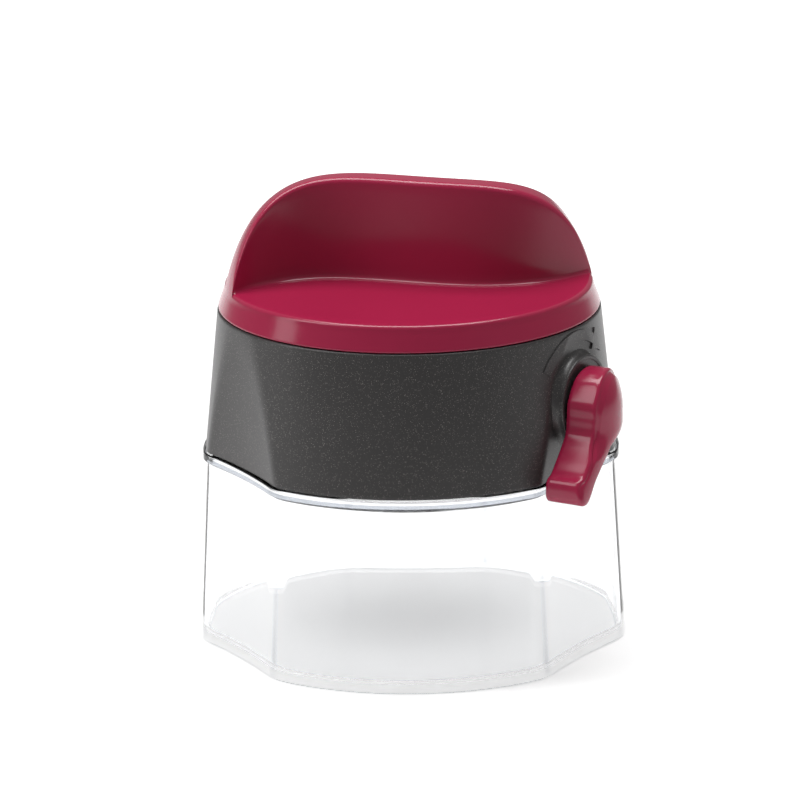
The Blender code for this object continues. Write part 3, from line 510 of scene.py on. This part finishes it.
def boss_surface():
    """Turned boss: concave flare off the flat, round shoulder, flat ring face, bore, and inner boss."""
    flare = [(18.2, 65.6), (17.4, 66.5), (16.4, 67.2), (15.7, 68.2), (15.5, 69.3)]
    line = flare + [(15.5, BOSS_FACE), (14.2, BOSS_FACE), (13.9, BOSS_FACE - 0.5), (BORE_R, BOSS_FACE - 0.5)]
    line += [(BORE_R, BOSS_BACK), (10.0, BOSS_BACK), (10.0, 65.0)]
    profile = np.array(line)
    eased = rounded(np.vstack([profile, profile[:1]]), 0.55)
    return place(turned(eased, 128), lever_frame())


def arrow_surface():
    """Raised arrow round the boss: an annular band that ends in a head, as an outline filled across its width.

    Along the arrow the band keeps its inner and outer radius; over the head both spread to the barbs and then
    close on the tip. Its top stands 0.45 above the flat.
    """
    start, neck, tip = -55.0, 34.0, 56.0
    along = np.concatenate([np.linspace(start, neck, 60), np.linspace(neck + 0.01, tip, 24)])
    head = np.clip((along - neck) / (tip - neck), 0, 1)
    inner = np.where(along <= neck, 20.3, 18.2 + (22.3 - 18.2) * head)
    outer = np.where(along <= neck, 23.9, 26.2 - (26.2 - 22.3) * head)
    turn = np.radians(along)[:, None]
    across_share = np.linspace(0, 1, 7)[None, :]
    radius = inner[:, None] + (outer - inner)[:, None] * across_share
    across, up = radius * np.sin(turn), radius * np.cos(turn)
    out = flat_stand(across, up)
    top = np.stack([across, up, out + 0.45], -1)
    under = np.stack([across, up, out - 0.8], -1)
    ring = np.concatenate([top[:, :1], top, top[:, -1:], under[:, ::-1]], 1)
    ring[:, 0] = np.stack([across[:, 0], up[:, 0], out[:, 0] + 0.30], -1)
    ring[:, 8] = np.stack([across[:, -1], up[:, -1], out[:, -1] + 0.30], -1)
    points, faces = grid(ring, wrap_columns=True)
    columns = ring.shape[1]
    caps = []
    for row in (0, ring.shape[0] - 1):
        base = row * columns
        half = columns // 2
        for i in range(half - 1):
            caps.append([base + i, base + i + 1, base + columns - 2 - i, base + columns - 1 - i])
    return place((points, np.vstack([faces, np.array(caps)])), lever_frame())


def lug_surface(direction):
    """Screw lug inside the housing: a short round post with a blind hole."""
    low = top_of("peel_deck")
    line = [(0.0, low + 7), (1.8, low + 7), (1.8, low + 0.5), (5.5, low + 0.5), (5.5, low + 10.3), (0.0, low + 10.3)]
    at = Matrix.Rotation(math.radians(direction), 4, "Z") @ Matrix.Translation((LUG_CIRCLE, 0, 0))
    return place(turned(line, 32), at)


# ---- cap --------------------------------------------------------------------------------------------

RIM_R = 64.3
RIM_ROUND = 1.5
DOME_ROUND = 4.7
DOME_SHOULDER = 0.77
CREST_HALF = 4.96
CREST_TWIST = 1.40e-4
CREST_LEAN = 0.316
FOOT_ROUND = 1.6
EDGE_ROUND = 1.9
BAND_R = 66.6
BAND_RISE = 7.5
BAND_INNER_R = 64.1
POCKET_R = 3.4
POCKET_RISE = 14.0
ROOF_THICK = 2.4


def smooth_step(value):
    value = np.clip(value, 0, 1)
    return value * value * (3 - 2 * value)


def cap_surface(columns=241):
    """The cap: a dome of revolution with a recess in front and behind that leaves an S-shaped crest.

    Each column is a cut at one x, from the front rim to the back rim. The floor is a disc whose edge turns down
    into the rim; the crest's faces stand at the S line plus or minus half its thickness; its top is the dome
    z = base + H (1 - (r/R)^p)^q. Foot and edge rounds are quarter circles that shrink where the crest is low.
    """
    foot, crown = foot_of("cap"), top_of("cap")
    base = foot + BAND_RISE
    floor_z = base + RIM_ROUND
    tall = crown - base
    x = -RIM_R * np.cos(np.linspace(0, math.pi, columns))
    reach = np.sqrt(np.maximum(RIM_R ** 2 - x ** 2, 0))
    line = CREST_TWIST * x ** 3 - CREST_LEAN * x
    slope = 3 * CREST_TWIST * x ** 2 - CREST_LEAN
    half = CREST_HALF * np.sqrt(1 + slope ** 2)

    def dome(y):
        share = np.clip(np.hypot(x, y) / RIM_R, 0, 1)
        return base + tall * np.maximum(1 - share ** DOME_ROUND, 0) ** DOME_SHOULDER

    def floor(y):
        over = np.clip((np.hypot(x, y) - (RIM_R - RIM_ROUND)) / RIM_ROUND, 0, 1)
        return floor_z - RIM_ROUND * (1 - np.sqrt(1 - over ** 2))

    def side_rows(side):
        wall = np.clip(side * line + half, -reach, reach)
        high = dome(wall) - floor(wall)
        ease = smooth_step(high / (FOOT_ROUND + EDGE_ROUND + 2.0))
        foot_at = np.clip(wall + FOOT_ROUND * ease, -reach, reach)
        rows = []
        for turn in np.linspace(math.pi / 2, 0, 7):
            ring = RIM_R - RIM_ROUND + RIM_ROUND * math.sin(turn)
            out = np.clip(np.maximum(np.sqrt(np.maximum(ring ** 2 - x ** 2, 0)), foot_at), -reach, reach)
            rows.append((out, floor(out)))
        edge_out = rows[-1][0]
        for share in np.linspace(0, 1, 9)[1:-1]:
            out = edge_out + (foot_at - edge_out) * share
            rows.append((out, floor(out)))
        for turn in np.linspace(0, math.pi / 2, 6):
            out = np.clip(foot_at - FOOT_ROUND * ease * math.sin(turn), -reach, reach)
            rows.append((out, floor(out) + FOOT_ROUND * ease * (1 - math.cos(turn))))
        low_z = rows[-1][1]
        high_z = np.maximum(dome(wall) - EDGE_ROUND * ease, low_z)
        for share in np.linspace(0, 1, 12)[1:-1]:
            rows.append((wall, low_z + (high_z - low_z) * share))
        for turn in np.linspace(0, math.pi / 2, 9):
            out = np.clip(wall - EDGE_ROUND * ease * (1 - math.cos(turn)), -reach, reach)
            rows.append((out, np.maximum(dome(out) - EDGE_ROUND * ease * (1 - math.sin(turn)), floor(out))))
        return [(side * out, z) for out, z in rows]

    front, back = side_rows(-1), side_rows(1)
    start, end = front[-1][0], back[-1][0]
    crown_rows = [(start + (end - start) * share, None) for share in np.linspace(0, 1, 9)[1:-1]]
    rows = front + [(y, dome(y)) for y, _ in crown_rows] + back[::-1]
    top = np.stack([np.stack([x, y, z], -1) for y, z in rows])

    angle_front = np.arctan2(-reach, x)
    angle_back = np.arctan2(reach, x)[::-1][1:-1]
    angle = np.concatenate([angle_front, angle_back])
    roof = floor_z - ROOF_THICK
    under = [(RIM_R, base), (RIM_R + 0.5, base - 1.8), (BAND_R - 0.1, foot + 0.9), (BAND_R, foot + 0.5)]
    under += [(BAND_R - 0.15, foot + 0.15), (BAND_R - 0.5, foot), (BAND_INNER_R, foot)]
    under += [(BAND_INNER_R - 1.6, roof), (POCKET_R, roof)]
    under += [(POCKET_R, roof + POCKET_RISE), (0.0, roof + POCKET_RISE + 0.3)]
    profile = np.array(under)[:, :, None]
    skirt = np.stack([profile[:, 0] * np.cos(angle), profile[:, 0] * np.sin(angle),
                      np.repeat(profile[:, 1], len(angle), 1)], -1)
    return [grid(top), grid(skirt, wrap_columns=True)]


# ---- lever ------------------------------------------------------------------------------------------

LEVER_BASE = 70.8
HUB_R = 13.0
HUB_HIGH = 11.9
TAIL_FRONT = [(13.3, 2.5), (14.0, -3.0), (14.7, -8.0), (17.6, -12.1), (21.4, -16.4), (24.7, -19.9)]
TOE = [(27.5, -21.4), (28.6, -23.6), (28.6, -27.6), (26.8, -29.6), (23.0, -29.7), (20.6, -27.6)]
TAIL_BACK = [(18.4, -23.9), (14.2, -20.2), (9.4, -16.9), (5.4, -13.8), (0.6, -12.6)]


def closed_curve(points, count):
    """Smooth closed line through points: Catmull-Rom spans, then spaced evenly by length."""
    knots = np.array(points, float)
    share = np.linspace(0, 1, 24, endpoint=False)[None, :, None]
    before, here = np.roll(knots, 1, 0)[:, None], knots[:, None]
    after, beyond = np.roll(knots, -1, 0)[:, None], np.roll(knots, -2, 0)[:, None]
    spans = 0.5 * (2 * here + (after - before) * share + (2 * before - 5 * here + 4 * after - beyond) * share ** 2
                   + (3 * here - before - 3 * after + beyond) * share ** 3)
    line = spans.reshape(-1, 2)
    closed = np.vstack([line, line[:1]])
    run = np.concatenate([[0], np.cumsum(np.linalg.norm(np.diff(closed, axis=0), axis=1))])
    even = np.linspace(0, run[-1], count, endpoint=False)
    return np.stack([np.interp(even, run, closed[:, 0]), np.interp(even, run, closed[:, 1])], -1)


def lever_end(left, up):
    """Outer end of the lever: a low dome, highest a little left of the hub's middle, falling to the right."""
    hub = 85.0 - 0.027 * (left - 4.5) ** 2 - 0.024 * np.maximum(up + 2.0, 0) ** 2
    tail = 85.4 - 0.024 * (left - 0.5 + 0.9 * up) ** 2
    mix = smooth_step((-up - 6.0) / 10.0)
    return hub * (1 - mix) + tail * mix


def lever_surface():
    """Outline carried outwards, then drawn in over a small edge round and closed over the domed end."""
    outline = closed_curve(LEVER_KNOTS, 300)
    spine = np.array([(0.0, 0.0), (9.0, -11.0), (24.0, -24.5)])
    middle = nearest_on(spine, outline)
    edge = 1.3
    rows = []

    def row(inset, out):
        span = np.linalg.norm(outline - middle, axis=1, keepdims=True)
        pulled = outline + (middle - outline) * np.clip(inset / span, 0, 1)
        height = out if np.ndim(out) else np.full(len(outline), out)
        rows.append(np.stack([-pulled[:, 0], pulled[:, 1], height], -1))

    row(999.0, LEVER_BASE)
    row(1.2, LEVER_BASE)
    row(0.4, LEVER_BASE + 0.15)
    row(0.0, LEVER_BASE + 0.7)
    rim = lever_end(outline[:, 0], outline[:, 1]) - edge
    for share in np.linspace(0.1, 1.0, 10):
        row(0.0, LEVER_BASE + 0.7 + (rim - LEVER_BASE - 0.7) * share)
    for turn in np.linspace(0.2, math.pi / 2, 6):
        row(edge * (1 - math.cos(turn)), rim + edge * math.sin(turn))
    for share in np.linspace(0.12, 1.0, 14):
        span = np.linalg.norm(outline - middle, axis=1)
        inset = edge + (span - edge) * share
        pulled = outline + (middle - outline) * np.clip(inset / span, 0, 1)[:, None]
        rows.append(np.stack([-pulled[:, 0], pulled[:, 1], lever_end(pulled[:, 0], pulled[:, 1])], -1))
    points = np.stack(rows)
    return place(grid(points, wrap_columns=True), lever_frame())


def nearest_on(line, points):
    """Nearest place to each point on a line of straight stretches."""
    best = None
    for a, b in zip(line, line[1:]):
        run = b - a
        share = np.clip(((points - a) @ run) / (run @ run), 0, 1)[:, None]
        at = a + run * share
        far = np.linalg.norm(points - at, axis=1, keepdims=True)
        if best is None:
            best, best_far = at, far
        else:
            best = np.where(far < best_far, at, best)
            best_far = np.minimum(far, best_far)
    return best


HUB_ARC = [(HUB_R * math.cos(math.radians(a)), HUB_HIGH * math.sin(math.radians(a))) for a in range(245, 29, -20)]
LEVER_KNOTS = TAIL_FRONT + TOE + TAIL_BACK + HUB_ARC


# ---- pieces -----------------------------------------------------------------------------------------

paint_depth_and_edge_shade(build_piece("clear_bowl", [bowl_surface()], CLEAR, "bowl", ["bowl"]))
housing_parts = [housing_shell(), boss_surface(), arrow_surface()]
housing_parts += [lug_surface(direction) for direction in LUG_DIRECTIONS]
build_piece("dark_housing", housing_parts, DARK_HOUSING, "housing", ["housing"], 50.0)
build_piece("twist_cap", cap_surface(), RED_CAP, "cap", ["cap"], 60.0)
build_piece("side_lever", [lever_surface()], RED_LEVER, "lever", ["lever"], 50.0)

CARRIED = {
    "dark_inside": DARK_INSIDE,
    "pale_plastic": PALE,
    "steel": STEEL,
}
for entry in frame["record"]["subparts"]:
    carried = frame["nodes"][entry["node"]]
    if entry["material_slot"] in CARRIED:
        carried.data.materials.clear()
        carried.data.materials.append(CARRIED[entry["material_slot"]])


# ---- floor, light and camera ------------------------------------------------------------------------

def glow(tree, place_in, middle, near, far, start, end):
    """Value that goes from start to end between two distances from a place on the table."""
    away = tree.nodes.new("ShaderNodeVectorMath")
    away.operation = "DISTANCE"
    away.inputs[1].default_value = middle
    rise = tree.nodes.new("ShaderNodeMapRange")
    rise.interpolation_type = "SMOOTHSTEP"
    rise.inputs["From Min"].default_value = near
    rise.inputs["From Max"].default_value = far
    rise.inputs["To Min"].default_value = start
    rise.inputs["To Max"].default_value = end
    tree.links.new(place_in.outputs["Object"], away.inputs[0])
    tree.links.new(away.outputs["Value"], rise.inputs["Value"])
    return rise.outputs["Result"]


def total(tree, one, other):
    added = tree.nodes.new("ShaderNodeMath")
    added.operation = "ADD"
    tree.links.new(one, added.inputs[0])
    tree.links.new(other, added.inputs[1])
    return added.outputs[0]


def studio():
    """Pale table, darker well in front of the object and glowing a little under and behind it, in an even room."""
    floor_mesh = bpy.data.meshes.new("floor")
    low = 0.00015
    floor_mesh.from_pydata([(-3, -3, low), (3, -3, low), (3, 3, low), (-3, 3, low)], [], [(0, 1, 2, 3)])
    floor = bpy.data.objects.new("floor", floor_mesh)
    bpy.context.scene.collection.objects.link(floor)
    look, tree, shader = material("pale floor")
    shader.inputs["Roughness"].default_value = 0.9
    shader.inputs["Specular IOR Level"].default_value = 0.0
    shader.inputs["Emission Color"].default_value = (1.0, 1.0, 1.0, 1.0)
    place_in = tree.nodes.new("ShaderNodeTexCoord")
    split = tree.nodes.new("ShaderNodeSeparateXYZ")
    front = tree.nodes.new("ShaderNodeMapRange")
    front.interpolation_type = "SMOOTHSTEP"
    front.inputs["From Min"].default_value = -0.55
    front.inputs["From Max"].default_value = -0.27
    front.inputs["To Min"].default_value = 0.07
    front.inputs["To Max"].default_value = 0.80
    tree.links.new(place_in.outputs["Object"], split.inputs[0])
    tree.links.new(split.outputs["Y"], front.inputs["Value"])
    tree.links.new(front.outputs["Result"], shader.inputs["Base Color"])
    under = glow(tree, place_in, (0, 0.01, 0), 0.005, 0.062, 0.19, 0.34)
    beyond = glow(tree, place_in, (0, 0, 0), 0.076, 0.20, 0.12, -0.16)
    distant = glow(tree, place_in, (0, 1.7, 0), 0.9, 1.5, 0.52, 0.0)
    tree.links.new(total(tree, total(tree, under, beyond), distant), shader.inputs["Emission Strength"])
    floor_mesh.materials.append(look)

    world = bpy.data.worlds.new("studio")
    bpy.context.scene.world = world
    world.use_nodes = True
    tree = world.node_tree
    back = tree.nodes["Background"]
    back.inputs["Strength"].default_value = 1.0
    place_in = tree.nodes.new("ShaderNodeTexCoord")
    parts = tree.nodes.new("ShaderNodeSeparateXYZ")
    ramp = tree.nodes.new("ShaderNodeMapRange")
    ramp.interpolation_type = "SMOOTHSTEP"
    ramp.inputs["From Min"].default_value = -0.92
    ramp.inputs["From Max"].default_value = -0.55
    ramp.inputs["To Min"].default_value = 0.20
    ramp.inputs["To Max"].default_value = 0.26
    tree.links.new(place_in.outputs["Generated"], parts.inputs[0])
    tree.links.new(parts.outputs["Y"], ramp.inputs["Value"])
    through = tree.nodes.new("ShaderNodeLightPath")
    lift = tree.nodes.new("ShaderNodeMath")
    lift.operation = "MULTIPLY_ADD"
    lift.inputs[1].default_value = 0.60
    tree.links.new(through.outputs["Is Transmission Ray"], lift.inputs[0])
    tree.links.new(ramp.outputs["Result"], lift.inputs[2])
    tree.links.new(lift.outputs[0], back.inputs["Color"])


def soft_light(name, at, towards, width, height, power):
    lamp = bpy.data.lights.new(name, "AREA")
    lamp.shape = "RECTANGLE"
    lamp.size = width
    lamp.size_y = height
    lamp.energy = power
    holder = bpy.data.objects.new(name, lamp)
    holder.location = at
    holder.rotation_euler = (Vector(towards) - Vector(at)).to_track_quat("-Z", "Y").to_euler()
    bpy.context.scene.collection.objects.link(holder)


def camera():
    """Far camera with a long lens, slightly above the object and turned a little round it."""
    away, tilt, roll, turn = 2.5, math.radians(15.75), math.radians(-0.76), math.radians(1.35)
    ahead = Vector((0, math.cos(tilt), -math.sin(tilt)))
    side = Vector((1, 0, 0))
    over = side.cross(ahead)
    right = side * math.cos(roll) + over * math.sin(roll)
    up = over * math.cos(roll) - side * math.sin(roll)
    at = Vector((-0.00366, -away * math.cos(tilt), 0.08427 + away * math.sin(tilt)))
    pose = Matrix((right, up, -ahead)).transposed().to_4x4()
    pose.translation = at
    lens = bpy.data.cameras.new("camera")
    lens.sensor_width = 36.0
    lens.lens = 36.0 * 7137.67 / 800
    lens.clip_start = 0.1
    lens.clip_end = 60.0
    eye = bpy.data.objects.new("camera", lens)
    eye.matrix_world = Matrix.Rotation(turn, 4, "Z") @ pose
    bpy.context.scene.collection.objects.link(eye)
    bpy.context.scene.camera = eye


studio()
soft_light("overhead", (0.0, 0.15, 1.25), (0, 0, 0.1), 1.1, 0.7, 15.0)
soft_light("left side", (-1.2, -0.25, 0.55), (0, 0, 0.1), 0.35, 0.9, 2.0)
soft_light("upper left", (-0.80, -0.30, 0.92), (0, 0, 0.1), 0.55, 0.55, 3.0)
camera()
bpy.context.scene.view_settings.view_transform = "Standard"
